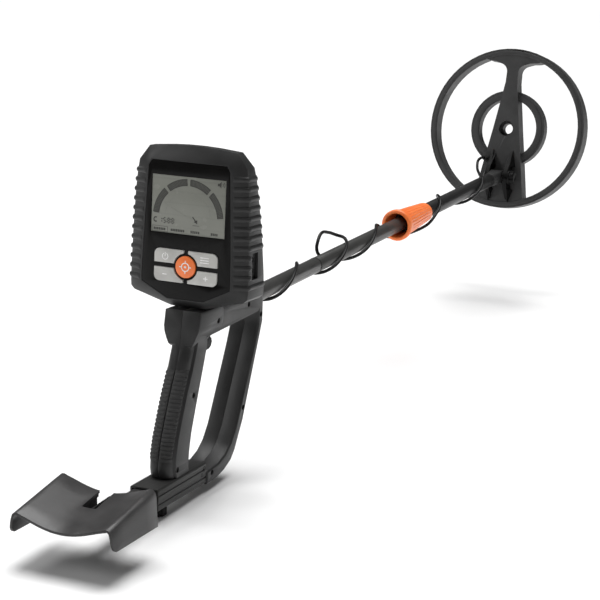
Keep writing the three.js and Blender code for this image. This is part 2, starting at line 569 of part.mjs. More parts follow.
// ---------- search coil ----------
// Drawn flat: x sideways, y away from the hinge, upper face at z = 0; then turned about X.
const coil = new THREE.Group();
coil.position.set(...COIL_CENTRE);
coil.rotation.x = rad(COIL_TURN);
detector.add(coil);
const turnIn = rad(COIL_TURN);
const pivotY = (PIVOT_Y - COIL_CENTRE[1]) * Math.cos(turnIn) - COIL_CENTRE[2] * Math.sin(turnIn);
const pivotZ = (COIL_CENTRE[1] - PIVOT_Y) * Math.sin(turnIn) - COIL_CENTRE[2] * Math.cos(turnIn);

function flatPlate(outline, z0, z1, holes = []) {
  const shape = new THREE.Shape(vectors(outline));
  shape.holes = holes.map((hole) => new THREE.Path(vectors(hole)));
  return new THREE.ExtrudeGeometry(shape, { depth: z1 - z0, bevelEnabled: false }).translate(0, 0, z0);
}
const spokeOutline = mirrored([
  [10, -119], [30, -116], [39.5, -110], [38.6, -104], [31.8, -62], [21, 0], [14.6, 40], [9.6, 72],
  ...arc(13, 180, 105, 5, 22.2, 88), [28, 103.6], [39, 104.6], [50, 108], [24, 117],
]);
const SHELL_LOW = -COIL_T + COVER_T + GAP;
const RING_SIDES = 64;
const INNER_SIDES = 44;
const band = (outer, inner, z0, z1, sides = RING_SIDES) =>
  solid(flatPlate(ring(outer, sides), z0, z1, [ring(inner, sides)]));
const footprint = (z0, z1, innerTop) => join(
  band(COIL_R, COIL_R - RING_W, z0, z1), solid(flatPlate(spokeOutline, z0, z1)),
  band(INNER_RING_R, INNER_RING_R - INNER_RING_W, z0, Math.min(z1, innerTop), INNER_SIDES));
const drilled = (radius, z0, z1, sides = 32) => solid(toZ(rod(radius, z0, z1, sides)));
const earOutline = [
  [-113, -2], [-38, -2], [-60, 20], ...arc(10.5, 50, 130, 6, pivotY, pivotZ), [-95, 20],
];
const ear = (side) => solid(sidePlate(earOutline, (EAR_OUT - EAR_IN) / 2)
  .translate((side * (EAR_OUT + EAR_IN)) / 2, 0, 0));
const acrossPivot = (radius, x0, x1, sides = 24) =>
  toX(rod(radius, x0, x1, sides)).translate(0, pivotY, pivotZ);
const HUB_R = 15.5;
const hollows = [
  band(COIL_R - 2.2, COIL_R - RING_W + 2.2, -COIL_T - 1, -3),
  band(INNER_RING_R - 2.2, INNER_RING_R - INNER_RING_W + 2.2, -COIL_T - 1, -INNER_RING_DROP - 3,
    INNER_SIDES),
  cut(solid(flatPlate(inset(spokeOutline, 3.5), -COIL_T - 1, -3)), drilled(HUB_R, -COIL_T - 2, 0)),
];
const GLAND = { x: -25, y: -50 };
coil.add(
  piece('coil_shell', geometryOf(cut(
    join(footprint(SHELL_LOW, 0, -INNER_RING_DROP), ear(1), ear(-1)), ...hollows,
    drilled(8, -COIL_T - 1, 1), drilled(12, -10, 1), solid(acrossPivot(BOLT_R + 0.35, -30, 30)),
    solid(toZ(rod(2.4, -10, 1, 16)).translate(GLAND.x, GLAND.y, 0)))), charcoal()),
  piece('coil_cover', geometryOf(cut(footprint(-COIL_T, -COIL_T + COVER_T, 0), drilled(8, -COIL_T - 1, 0))),
    charcoal()),
  piece('outer_winding', flatPlate(ring(122, RING_SIDES), -18, -6, [ring(118, RING_SIDES)]), copper()),
  piece('inner_winding', flatPlate(ring(57, INNER_SIDES), -19, -13, [ring(53, INNER_SIDES)]), copper()),
  piece('coil_bolt', geometryOf(join(
    solid(acrossPivot(6, -21.4, -EAR_OUT - GAP, 6)), solid(acrossPivot(BOLT_R, -20, 27)))), steel()),
  piece('cable_gland', geometryOf(join(
    solid(toZ(rod(5, GAP, 6, 20))), solid(toZ(rod(3.4, 5, 16, 20))),
  )).translate(GLAND.x, GLAND.y, 0), rubber()),
);
const knobRim = ring(8.6, 32).map(([x, y], i) => {
  const scale = 1 - 0.1 * Math.max(0, Math.cos((i / 4) * 2 * Math.PI));
  return [x * scale, y * scale];
});
const coilKnob = cut(solid(lobedKnob(knobRim, EAR_OUT + GAP, EAR_OUT + 8)),
  solid(toZ(rod(BOLT_R + 0.35, 0, 40, 24))));
coil.add(piece('coil_knob', geometryOf(coilKnob).rotateY(Math.PI / 2).translate(0, pivotY, pivotZ), black()));
for (const [side, name] of [[1, 'right'], [-1, 'left']]) {
  const washer = pipe(8, BOLT_R + 0.35, 9.9, EAR_IN - GAP, 24);
  const placedWasher = side > 0 ? toX(washer) : toX(washer).rotateZ(Math.PI);
  coil.add(piece(`washer_${name}`, placedWasher.translate(0, pivotY, pivotZ), rubber()));
}

// ---------- coil cable ----------
// Wound on the shaft: [turns from the underside, y, distance from the shaft axis].
const ON_MID = UPPER_R + CABLE_R + 0.7;
const ON_LOWER = LOWER_R + CABLE_R + 0.7;
const WINDING = [
  [-0.5, -23, ON_MID + 1], [-0.25, -2, ON_MID], [0, 23, ON_MID], [0.5, 110, ON_MID], [1, 177, ON_MID],
  [1.38, 243, ON_MID], [1.5, 252, ON_MID + 7], [1.51, 232, ON_MID + 17], [1.5, 207, ON_MID + 20],
  [1.53, 190, ON_MID + 10], [1.62, 192, ON_MID + 1], [1.8, 232, ON_MID], [2, 271, ON_MID],
  [2.5, 366, ON_MID], [2.62, 392, ON_MID + 1.5], [2.71, 412, 20], [2.76, 423, 25.5], [2.82, 440, 24.5],
  [2.91, 482, 20.5], [3, 519, 18], [3.12, 547, ON_LOWER], [3.5, 602, ON_LOWER], [4, 700, ON_LOWER],
  [4.25, 752, ON_LOWER], [4.45, 781, ON_LOWER + 0.5],
];
const COLLAR_KNOT = 15; // where the cable leaves the inner tube and joins the sliding one
const UNDERSIDE = -58; // degrees about the shaft axis
const windingCurve = new THREE.CatmullRomCurve3(
  WINDING.map(([turns, y, r]) => new THREE.Vector3(turns * 100, y, r)), false, 'centripetal');
function wound(from, to, steps) {
  return Array.from({ length: steps + 1 }, (_, i) => {
    const knot = from + ((to - from) * i) / steps;
    const { x: turns, y, z } = windingCurve.getPoint(knot / (WINDING.length - 1));
    const angle = rad(UNDERSIDE + 3.6 * turns);
    const r = Math.max(z, y < COLLAR_REAR ? ON_MID : ON_LOWER);
    return new THREE.Vector3(r * Math.cos(angle), y, r * Math.sin(angle));
  });
}
function cable(points, steps) {
  const path = new THREE.CatmullRomCurve3(points, false, 'centripetal');
  const section = new THREE.Shape(vectors(ring(CABLE_R, 8)));
  return new THREE.ExtrudeGeometry(section, { steps, extrudePath: path, bevelEnabled: false });
}
const toWorld = (group, x, y, z) => {
  group.updateMatrix();
  return new THREE.Vector3(x, y, z).applyMatrix4(group.matrix);
};
const LAST_KNOT = WINDING.length - 1;
const leaveBox = [84.4, 92].map((y) => toWorld(box, CABLE_OUT.x, y, CABLE_OUT.z));
const glandEnd = [24, 16.4].map((z) => toWorld(coil, GLAND.x, GLAND.y, z));
const toShaft = [[-40, -78, 62], [-31, -65, 45], [-21, -54, 30], [-13, -43, 21.5], [-9, -34, 17.6]]
  .map((p) => new THREE.Vector3(...p));
const toGland = [[-16, 806, 19], [-22, 826, 27]].map((p) => new THREE.Vector3(...p));
const upperRoute = [...leaveBox, ...toShaft, ...wound(0, COLLAR_KNOT - 0.02, 110)];
const lowerRoute = wound(COLLAR_KNOT + 0.02, LAST_KNOT, 46);
const tailStart = wound(LAST_KNOT - 0.5, LAST_KNOT, 2).at(-1).add(new THREE.Vector3(-0.25, 0.4, 0.2));
detector.add(
  piece('cable_upper', cable(upperRoute, 126), rubber()),
  piece('cable_lower', cable(lowerRoute, 56), rubber()),
  piece('cable_tail', cable([tailStart, ...toGland, ...glandEnd], 12), rubber()),
);

export default detector;
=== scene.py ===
"""Looks of the hand-held metal detector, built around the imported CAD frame.

Metres, +Z up, +Y forward along the shaft, +X the user's right. Outlines are written in millimetres,
in the frame of the sub-part that they belong to: shaft, control box, foot beam or coil.
"""
import json
import math

import bpy
from mathutils import Matrix, Vector


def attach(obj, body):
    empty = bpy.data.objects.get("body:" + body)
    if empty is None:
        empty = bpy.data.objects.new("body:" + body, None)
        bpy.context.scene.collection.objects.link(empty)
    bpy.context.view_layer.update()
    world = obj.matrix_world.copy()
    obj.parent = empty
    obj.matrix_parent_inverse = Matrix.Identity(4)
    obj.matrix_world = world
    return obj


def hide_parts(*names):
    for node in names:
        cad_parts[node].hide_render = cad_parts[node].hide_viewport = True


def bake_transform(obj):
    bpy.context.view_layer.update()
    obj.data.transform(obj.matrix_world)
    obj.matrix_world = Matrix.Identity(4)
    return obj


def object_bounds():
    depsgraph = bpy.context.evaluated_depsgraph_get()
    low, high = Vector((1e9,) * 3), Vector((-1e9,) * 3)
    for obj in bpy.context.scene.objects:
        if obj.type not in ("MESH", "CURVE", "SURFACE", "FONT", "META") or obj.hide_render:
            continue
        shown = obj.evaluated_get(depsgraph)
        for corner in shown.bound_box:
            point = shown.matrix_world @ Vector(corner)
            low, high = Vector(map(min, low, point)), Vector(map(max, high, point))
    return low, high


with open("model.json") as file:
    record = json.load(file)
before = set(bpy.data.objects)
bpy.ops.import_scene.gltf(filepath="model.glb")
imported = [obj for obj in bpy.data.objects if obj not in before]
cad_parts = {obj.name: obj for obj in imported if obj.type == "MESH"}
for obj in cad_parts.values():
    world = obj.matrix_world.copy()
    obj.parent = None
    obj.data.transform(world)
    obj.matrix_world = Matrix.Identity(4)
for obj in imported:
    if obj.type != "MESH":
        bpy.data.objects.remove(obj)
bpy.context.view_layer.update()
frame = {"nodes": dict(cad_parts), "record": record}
MM = 0.001


# ---------- frames of the sub-parts ----------
def placed(origin, tilt):
    """The matrix of a sub-part: its origin in millimetres and its tilt about X in degrees."""
    return Matrix.Translation(Vector(origin) * MM) @ Matrix.Rotation(math.radians(tilt), 4, "X")


SHAFT = placed((0, 213, 80), 0)
BOX = placed((0, 27.6, 180), -3.3)
FOOT = placed((0, 44.5, -71.2), -1.6)
COIL = placed((0, 1104.2, 151.2), 77.3)


def at(matrix, x, y, z):
    """A point in millimetres of a sub-part, in metres of the row frame."""
    return matrix @ (Vector((x, y, z)) * MM)


# ---------- camera ----------
CAMERA_AT = Vector((0.8494, -1.5949, 0.5754))
CAMERA_AZIMUTH = math.radians(23.91)
CAMERA_ELEVATION = math.radians(14.18)
CAMERA_ROLL = math.radians(1.34)
CAMERA_LENS = 108.03


def add_camera():
    level = math.cos(CAMERA_ELEVATION)
    back = Vector((math.sin(CAMERA_AZIMUTH) * level, -math.cos(CAMERA_AZIMUTH) * level,
                   math.sin(CAMERA_ELEVATION)))
    roll = Matrix.Rotation(CAMERA_ROLL, 3, "Z").to_quaternion()
    data = bpy.data.cameras.new("camera")
    data.lens = CAMERA_LENS
    data.clip_start = 0.05
    data.clip_end = 40
    camera = bpy.data.objects.new("camera", data)
    camera.location = CAMERA_AT
    camera.rotation_mode = "QUATERNION"
    camera.rotation_quaternion = back.to_track_quat("Z", "Y") @ roll
    bpy.context.scene.collection.objects.link(camera)
    bpy.context.scene.camera = camera


add_camera()


# ---------- curves and outlines ----------
def between(table, z):
    """The value at a height, from a table of (height, value) in rising order."""
    for (z0, v0), (z1, v1) in zip(table, table[1:]):
        if z <= z1:
            return v0 + (v1 - v0) * (z - z0) / (z1 - z0)
    return table[-1][1]


def spline(points, samples):
    """A centripetal Catmull-Rom curve through the points, with that many samples for each span."""
    points = [Vector(p) for p in points]
    ends = [2 * points[0] - points[1], *points, 2 * points[-1] - points[-2]]
    curve = []
    for before, start, end, after in zip(ends, ends[1:], ends[2:], ends[3:]):
        d0, d1, d2 = ((b - a).length ** 0.5 for a, b in ((before, start), (start, end), (end, after)))
        leave = ((start - before) / d0 - (end - before) / (d0 + d1) + (end - start) / d1) * d1
        arrive = ((end - start) / d1 - (after - start) / (d1 + d2) + (after - end) / d2) * d1
        for i in range(samples):
            t = i / samples
            curve.append(start * (2 * t**3 - 3 * t**2 + 1) + end * (3 * t**2 - 2 * t**3)
                         + leave * (t**3 - 2 * t**2 + t) + arrive * (t**3 - t**2))
    return [*curve, points[-1]]


def turns(sides):
    """Angles all the way round, in equal steps."""
    return [2 * math.pi * i / sides for i in range(sides)]


def arc(radius, start, end, steps, cx=0.0, cz=0.0):
    """Points on a circle, from one angle to another in degrees."""
    angles = [math.radians(start + (end - start) * i / steps) for i in range(steps + 1)]
    return [(cx + radius * math.cos(a), cz + radius * math.sin(a)) for a in angles]


def bar(x0, x1, z0, z1):
    """An upright rectangle."""
    return [(x0, z0), (x1, z0), (x1, z1), (x0, z1)]


def stroke(points, width, closed=False):
    """Bars of one width along a line of (x, z) points."""
    ends = [*points, points[0]] if closed else points
    bars = []
    for (x0, z0), (x1, z1) in zip(ends, ends[1:]):
        length = math.hypot(x1 - x0, z1 - z0)
        dx, dz = -(z1 - z0) / length * width / 2, (x1 - x0) / length * width / 2
        bars.append([(x0 + dx, z0 + dz), (x0 - dx, z0 - dz), (x1 - dx, z1 - dz), (x1 + dx, z1 + dz)])
    return bars


def hoop(radius, width, start=0, end=360, steps=32, cx=0.0, cz=0.0):
    """A flat band along an arc, as one outline, or as two halves where it goes all the way round."""
    if end - start >= 360:
        middle = (start + end) / 2
        return [*hoop(radius, width, start, middle, steps // 2, cx, cz),
                *hoop(radius, width, middle, end, steps // 2, cx, cz)]
    outer = arc(radius + width / 2, start, end, steps, cx, cz)
    inner = arc(radius - width / 2, end, start, steps, cx, cz)
    return [outer + inner]


# ---------- meshes ----------
def make_mesh(name, points, faces, smooth=True):
    """An object from points in metres of the row frame."""
    mesh = bpy.data.meshes.new(name)
    mesh.from_pydata([tuple(p) for p in points], [], faces)
    mesh.validate()
    mesh.update()
    obj = bpy.data.objects.new(name, mesh)
    bpy.context.scene.collection.objects.link(obj)
    if smooth:
        mesh.shade_smooth()
    return obj


def dress(obj, body, slot, material=None):
    """Puts a piece on its body, with the finish of its slot unless another one is given."""
    obj.data.materials.append(material or FINISHES[slot])
    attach(obj, body)


def skin(rings, count, first=0, looped=False):
    """Faces over rings of points: bands between them, then two caps unless the last ring meets the first."""
    faces = []
    for ring in range(rings if looped else rings - 1):
        a, b = first + ring * count, first + (ring + 1) % rings * count
        for i in range(count):
            j = (i + 1) % count
            faces.append((a + i, a + j, b + j, b + i))
    if not looped:
        last = first + (rings - 1) * count
        faces.append(tuple(reversed(range(first, first + count))))
        faces.append(tuple(range(last, last + count)))
    return faces


def tube(name, path, radius, sides=14):
    """A round tube with closed ends along a path, its section turned as little as possible."""
    neighbours = zip([path[0], *path], [*path[1:], path[-1]])
    tangents = [(after - before).normalized() for before, after in neighbours]
    across = tangents[0].orthogonal().normalized()
    points = []
    for centre, tangent in zip(path, tangents):
        across = (across - tangent * across.dot(tangent)).normalized()
        other = tangent.cross(across)
        for turn in turns(sides):
            points.append(centre + radius * (across * math.cos(turn) + other * math.sin(turn)))
    return make_mesh(name, points, skin(len(path), sides))


def printed(name, outlines, matrix, front, thickness):
    """Thin plates facing -Y, from (x, z) outlines: front is the y of their visible side."""
    points, faces = [], []
    for outline in outlines:
        area = sum(x0 * z1 - x1 * z0 for (x0, z0), (x1, z1) in zip(outline, outline[1:] + outline[:1]))
        run = outline if area > 0 else outline[::-1]
        first, count = len(points), len(run)
        points += [at(matrix, x, front, z) for x, z in run]
        points += [at(matrix, x, front + thickness, z) for x, z in run]
        faces.append(tuple(first + i for i in range(count)))
        faces.append(tuple(first + count + i for i in reversed(range(count))))
        for i in range(count):
            j = (i + 1) % count
            faces.append((first + j, first + i, first + count + i, first + count + j))
    return make_mesh(name, points, faces, smooth=False)


# ---------- materials ----------
class Nodes:
    """A material's node tree with a Principled shader."""

    def __init__(self, name, roughness, metallic=0.0, **shader):
        self.material = bpy.data.materials.new(name)
        self.material.use_nodes = True
        self.tree = self.material.node_tree
        self.shader = self.tree.nodes["Principled BSDF"]
        self.shader.inputs["Roughness"].default_value = roughness
        self.shader.inputs["Metallic"].default_value = metallic
        for socket, value in shader.items():
            self.shader.inputs[socket.replace("_", " ")].default_value = value
        self.where = self.add("ShaderNodeTexCoord").outputs["Object"]

    def add(self, kind, **settings):
        node = self.tree.nodes.new(kind)
        for key, value in settings.items():
            setattr(node, key, value)
        return node

    def link(self, output, target):
        self.tree.links.new(output, target)

    def colour(self, output):
        self.link(output, self.shader.inputs["Base Color"])

    def gloss(self, value, rough_low, rough_high, low=0.3, high=0.7):
        """Roughness that varies with a value."""
        self.link(self.ranged(value, low, high, rough_low, rough_high), self.shader.inputs["Roughness"])

    def stretched(self, scale):
        """The object's coordinates, scaled by axis."""
        mapping = self.add("ShaderNodeMapping")
        mapping.inputs["Scale"].default_value = scale
        self.link(self.where, mapping.inputs["Vector"])
        return mapping.outputs["Vector"]

    def noise(self, scale, detail=2.0, where=None, roughness=0.5):
        node = self.add("ShaderNodeTexNoise")
        node.inputs["Scale"].default_value = scale
        node.inputs["Detail"].default_value = detail
        node.inputs["Roughness"].default_value = roughness
        self.link(where or self.where, node.inputs["Vector"])
        return node.outputs["Fac"]

    def ranged(self, value, low, high, out_low, out_high):
        node = self.add("ShaderNodeMapRange")
        limits = {"From Min": low, "From Max": high, "To Min": out_low, "To Max": out_high}
        for socket, number in limits.items():
            node.inputs[socket].default_value = number
        self.link(value, node.inputs["Value"])
        return node.outputs["Result"]

    def ramp(self, value, low_colour, high_colour, low=0.3, high=0.7):
        """A colour that runs from one to another as a value goes from low to high."""
        node = self.add("ShaderNodeValToRGB")
        elements = node.color_ramp.elements
        for element, position, colour in zip(elements, (low, high), (low_colour, high_colour)):
            element.position = position
            element.color = (*colour, 1)
        self.link(value, node.inputs["Fac"])
        return node.outputs["Color"]

    def mix(self, factor, first, second):
        """A colour mixed from a first one and a second, fixed one."""
        node = self.add("ShaderNodeMix", data_type="RGBA")
        sockets = {socket.identifier: socket for socket in node.inputs}
        self.link(factor, sockets["Factor_Float"])
        self.link(first, sockets["A_Color"])
        sockets["B_Color"].default_value = (*second, 1)
        return next(socket for socket in node.outputs if socket.identifier == "Result_Color")

    def bump(self, heights):
        """Bumps from (height, distance in millimetres, strength), stacked."""
        normal = None
        for height, distance, strength in heights:
            node = self.add("ShaderNodeBump")
            node.inputs["Distance"].default_value = distance * MM
            node.inputs["Strength"].default_value = strength
            self.link(height, node.inputs["Height"])
            if normal:
                self.link(normal, node.inputs["Normal"])
            normal = node.outputs["Normal"]
        self.link(normal, self.shader.inputs["Normal"])

    def edges(self, radius, strength):
        """From 0 on the faces of a shape to the strength on its edges, by the angle of a rounded normal."""
        rounded = self.add("ShaderNodeBevel", samples=4)
        rounded.inputs["Radius"].default_value = radius * MM
        geometry = self.add("ShaderNodeNewGeometry")
        dot = self.add("ShaderNodeVectorMath", operation="DOT_PRODUCT")
        self.link(rounded.outputs["Normal"], dot.inputs[0])
        self.link(geometry.outputs["Normal"], dot.inputs[1])
        return self.ranged(dot.outputs["Value"], 1.0, 0.8, 0.0, strength)


def tinted(colour, share):
    """A colour made darker or paler by a share."""
    return tuple(min(1.0, c * share) for c in colour)


def moulded(name, colour, roughness, grain=0.5, edge_highlight=0.35, shine=0.3):
    """Moulded plastic: a spark-eroded grain, uneven gloss and a painted highlight on its edges."""
    n = Nodes(name, roughness, Specular_IOR_Level=shine)
    cloud = n.noise(38, 4)
    base = n.ramp(cloud, tinted(colour, 0.86), tinted(colour, 1.14))
    scuffs = n.ranged(n.noise(90, 6, n.stretched((1, 0.25, 1)), 0.65), 0.58, 0.72, 0.0, 0.16)
    base = n.mix(scuffs, base, tinted(colour, 2.1))
    if edge_highlight:
        # painted highlight: the edges are mixed towards a paler tint of the colour
        base = n.mix(n.edges(0.7, edge_highlight), base, tinted(colour, 2.6))
    n.colour(base)
    n.gloss(cloud, roughness - 0.05, roughness + 0.07)
    n.bump([(n.noise(1500, 2), 0.12, grain), (n.noise(60, 3), 0.15, 0.12)])
    return n.material


def rubbery(name, colour, roughness=0.75):
    """Soft rubber, matt and slightly dusty."""
    n = Nodes(name, roughness)
    cloud = n.noise(55, 4)
    dust = n.ranged(n.noise(240, 5, roughness=0.7), 0.52, 0.75, 0.0, 0.2)
    base = n.ramp(cloud, tinted(colour, 0.8), tinted(colour, 1.2))
    n.colour(n.mix(dust, base, (0.12, 0.118, 0.11)))
    n.gloss(cloud, roughness - 0.1, roughness + 0.08)
    n.bump([(n.noise(2400, 2), 0.1, 0.55)])
    return n.material


def drawn_tube(name, colour, roughness, metallic):
    """A painted or anodised tube, with fine lines along its length and light rub marks."""
    n = Nodes(name, roughness, metallic, Specular_IOR_Level=0.35)
    lines = n.noise(900, 3, n.stretched((1, 0.012, 1)))
    base = n.ramp(n.noise(25, 4), tinted(colour, 0.88), tinted(colour, 1.12))
    rubs = n.ranged(n.noise(130, 6, n.stretched((1, 0.12, 1)), 0.7), 0.6, 0.74, 0.0, 0.22)
    n.colour(n.mix(rubs, base, tinted(colour, 1.8)))
    n.gloss(lines, roughness - 0.07, roughness + 0.1)
    n.bump([(lines, 0.05, 0.25), (n.noise(1800, 2), 0.04, 0.2)])
    return n.material


def glossy(name, colour, roughness, smear=0.08):
    """A polished surface with faint wipe marks in its gloss."""
    n = Nodes(name, roughness, Specular_IOR_Level=0.12)
    wipes = n.noise(28, 6, n.stretched((1, 1, 0.45)), 0.6)
    n.colour(n.ramp(wipes, tinted(colour, 0.85), tinted(colour, 1.2), 0.25, 0.75))
    n.gloss(wipes, roughness, roughness + smear, 0.35, 0.7)
    n.bump([(n.noise(400, 2), 0.02, 0.12)])
    return n.material


def metal(name, colour, roughness):
    """Bare metal with fine turning marks."""
    n = Nodes(name, roughness, 1.0)
    turning = n.noise(700, 4, n.stretched((0.2, 1, 1)))
    n.colour(n.ramp(turning, tinted(colour, 0.75), tinted(colour, 1.15)))
    n.gloss(turning, roughness - 0.08, roughness + 0.12)
    n.bump([(turning, 0.05, 0.3)])
    return n.material


def display():
    """The reflective liquid-crystal panel: grey with a soft fade and a faint grid of cells."""
    n = Nodes("display", 0.3, Specular_IOR_Level=0.25)
    cells = n.add("ShaderNodeTexVoronoi", distance="CHEBYCHEV")
    cells.inputs["Scale"].default_value = 1400
    cells.inputs["Randomness"].default_value = 0.0
    n.link(n.where, cells.inputs["Vector"])
    fade = n.ramp(n.noise(14, 2), (0.225, 0.23, 0.203), (0.26, 0.266, 0.235))
    grid = n.ranged(cells.outputs["Distance"], 0.4, 0.5, 0.0, 0.18)
    n.colour(n.mix(grid, fade, (0.15, 0.152, 0.14)))
    n.gloss(n.noise(60, 4), 0.16, 0.3)
    n.bump([(n.noise(900, 2), 0.01, 0.1)])
    return n.material


def ink(name, colour):
    """Printed or liquid-crystal marks, slightly uneven."""
    n = Nodes(name, 0.5)
    n.colour(n.ramp(n.noise(700, 3), tinted(colour, 0.85), tinted(colour, 1.1), 0.35, 0.65))
    n.bump([(n.noise(1800, 2), 0.02, 0.2)])
    return n.material


def orange_plastic():
    """The orange of the lock and the round key, grimy in places, with a painted highlight on its edges."""
    n = Nodes("orange_plastic", 0.38, Coat_Weight=0.12, Coat_Roughness=0.2)
    cloud = n.noise(45, 4)
    base = n.ramp(cloud, (1.0, 0.2, 0.042), (1.0, 0.25, 0.06))
    grime = n.ranged(n.noise(160, 6, roughness=0.7), 0.6, 0.78, 0.0, 0.25)
    base = n.mix(grime, base, (0.4, 0.06, 0.015))
    # painted highlight: the edges are mixed towards a set orange
    n.colour(n.mix(n.edges(0.8, 0.4), base, (1.0, 0.2272, 0.0352)))
    n.gloss(cloud, 0.32, 0.46)
    n.bump([(n.noise(1500, 2), 0.1, 0.4)])
    return n.material


def circuit_green():
    """A circuit board: solder resist with a grid of paler tracks."""
    n = Nodes("circuit_green", 0.4)
    tracks = n.add("ShaderNodeTexBrick")
    tracks.inputs["Scale"].default_value = 180
    colours = {"Color1": (0.02, 0.13, 0.05), "Color2": (0.02, 0.1, 0.04), "Mortar": (0.06, 0.3, 0.12)}
    for socket, colour in colours.items():
        tracks.inputs[socket].default_value = (*colour, 1)
    n.link(n.where, tracks.inputs["Vector"])
    n.colour(tracks.outputs["Color"])
    n.bump([(tracks.outputs["Fac"], 0.05, 0.4)])
    return n.material


FINISHES = {
    "tube_grey": drawn_tube("tube_grey", (0.05, 0.05, 0.048), 0.34, 0.2),
    "tube_black": drawn_tube("tube_black", (0.012, 0.012, 0.012), 0.36, 0.0),
    "charcoal_plastic": moulded("charcoal_plastic", (0.025, 0.025, 0.025), 0.42),
    "beam_metal": drawn_tube("beam_metal", (0.026, 0.026, 0.025), 0.45, 0.1),
    "cuff_plastic": moulded("cuff_plastic", (0.036, 0.035, 0.035), 0.33, 0.3),
    "coil_plastic": moulded("coil_plastic", (0.047, 0.047, 0.047), 0.46),
    "black_plastic": moulded("black_plastic", (0.0045, 0.0045, 0.0045), 0.45, 0.25, 0.12, 0.12),
    "plate_gloss": glossy("plate_gloss", (0.006, 0.0058, 0.0056), 0.16),
    "lcd": display(),
    "key_grey": moulded("key_grey", (0.56, 0.555, 0.53), 0.45, 0.25, 0.0),
    "orange_plastic": orange_plastic(),
    "grip_rubber": rubbery("grip_rubber", (0.028, 0.028, 0.028)),
    "black_rubber": rubbery("black_rubber", (0.014, 0.014, 0.014)),
    "cable_sheath": glossy("cable_sheath", (0.012, 0.012, 0.012), 0.3, 0.12),
    "screw_steel": metal("screw_steel", (0.09, 0.09, 0.09), 0.35),
    "board_green": circuit_green(),
    "battery_wrap": moulded("battery_wrap", (0.06, 0.06, 0.065), 0.4, 0.2, 0.0),
    "copper": metal("copper", (0.75, 0.3, 0.14), 0.3),
}
WHITE_INK = ink("white_ink", (0.97, 0.96, 0.94))
LCD_INK = ink("lcd_ink", (0.035, 0.035, 0.03))
LCD_FAINT = ink("lcd_faint", (0.075, 0.075, 0.066))
LCD_TRACE = ink("lcd_trace", (0.2, 0.205, 0.18))


# ---------- finishes of the CAD nodes ----------
SMOOTH_ANGLE = math.radians(32)
WELD_GAP = 0.02 * MM
EDGE = 0.4
EDGE_OF = {
    "circuit_board": 0.1, "lcd_panel": 0.1, "face_plate": 0.25, "arm_cuff": 0.6, "cable_plug": 0.5,
    "handle_right": 0.8, "handle_left": 0.8,
}


def soften(obj, edge):
    """Smooth shading on the curved faces of a CAD node, and narrow rounded edges."""
    mesh = obj.data
    mesh.shade_smooth()
    if mesh.has_custom_normals:
        mesh.attributes.remove(mesh.attributes["custom_normal"])
    weld = obj.modifiers.new("weld", "WELD")
    weld.merge_threshold = WELD_GAP
    rounding = obj.modifiers.new("rounding", "BEVEL")
    rounding.width = edge * MM
    rounding.segments = 2
    rounding.limit_method = "ANGLE"
    rounding.angle_limit = SMOOTH_ANGLE
    rounding.use_clamp_overlap = True
    rounding.harden_normals = False
    split = obj.modifiers.new("split", "EDGE_SPLIT")
    split.split_angle = SMOOTH_ANGLE
    split.use_edge_sharp = False


def finish_nodes():
    for part in frame["record"]["subparts"]:
        obj = frame["nodes"][part["node"]]
        slot = part["material_slot"]
        obj.data.materials.clear()
        obj.data.materials.append(FINISHES[slot])
        soften(obj, EDGE_OF.get(part["node"], EDGE))


finish_nodes()


# ---------- coil cable ----------
CABLE_R = 2.1
ON_MID = 9.5 + CABLE_R + 0.7
ON_LOWER = 10.3 + CABLE_R + 0.7
COLLAR_REAR = 422
UNDERSIDE = -58
WINDING = [  # turns round the shaft from its underside, y, distance from the shaft axis
    (-0.5, -23, ON_MID + 1), (-0.25, -2, ON_MID), (0, 23, ON_MID), (0.5, 110, ON_MID), (1, 177, ON_MID),
    (1.38, 243, ON_MID), (1.5, 252, ON_MID + 7), (1.51, 232, ON_MID + 17), (1.5, 207, ON_MID + 20),
    (1.53, 190, ON_MID + 10), (1.62, 192, ON_MID + 1), (1.8, 232, ON_MID), (2, 271, ON_MID),
    (2.5, 366, ON_MID), (2.62, 392, ON_MID + 1.5), (2.71, 412, 20), (2.76, 423, 25.5), (2.82, 440, 24.5),
    (2.91, 482, 20.5), (3, 519, 18), (3.12, 547, ON_LOWER), (3.5, 602, ON_LOWER), (4, 700, ON_LOWER),
    (4.25, 752, ON_LOWER), (4.45, 781, ON_LOWER + 0.5),
]
TURN_SHARE = 100  # what one turn counts for, next to millimetres, when the winding is smoothed
COLLAR_KNOT = 15
PER_KNOT = 26
OUT_OF_BOX = [(-43, 84.4, -20), (-43, 92, -20)]  # in the box's frame
TO_SHAFT = [(-40, -78, 62), (-31, -65, 45), (-21, -54, 30), (-13, -43, 21.5), (-9, -34, 17.6)]
TO_COIL = [(-16, 806, 19), (-22, 826, 27)]  # in the shaft's frame, as is TO_SHAFT
INTO_GLAND = [(-25, -50, 24), (-25, -50, 16.4)]  # in the coil's frame


def wound_point(turned, y, radius):
    angle = math.radians(UNDERSIDE + 360 * turned)
    radius = max(radius, ON_MID if y < COLLAR_REAR else ON_LOWER)
    return at(SHAFT, radius * math.cos(angle), y, radius * math.sin(angle))


def lead(knots, run, samples=10):
    """A smooth path through given points that joins a run already sampled finely."""
    return spline([*knots, run[0], run[2]], samples)[:-samples - 1] + run


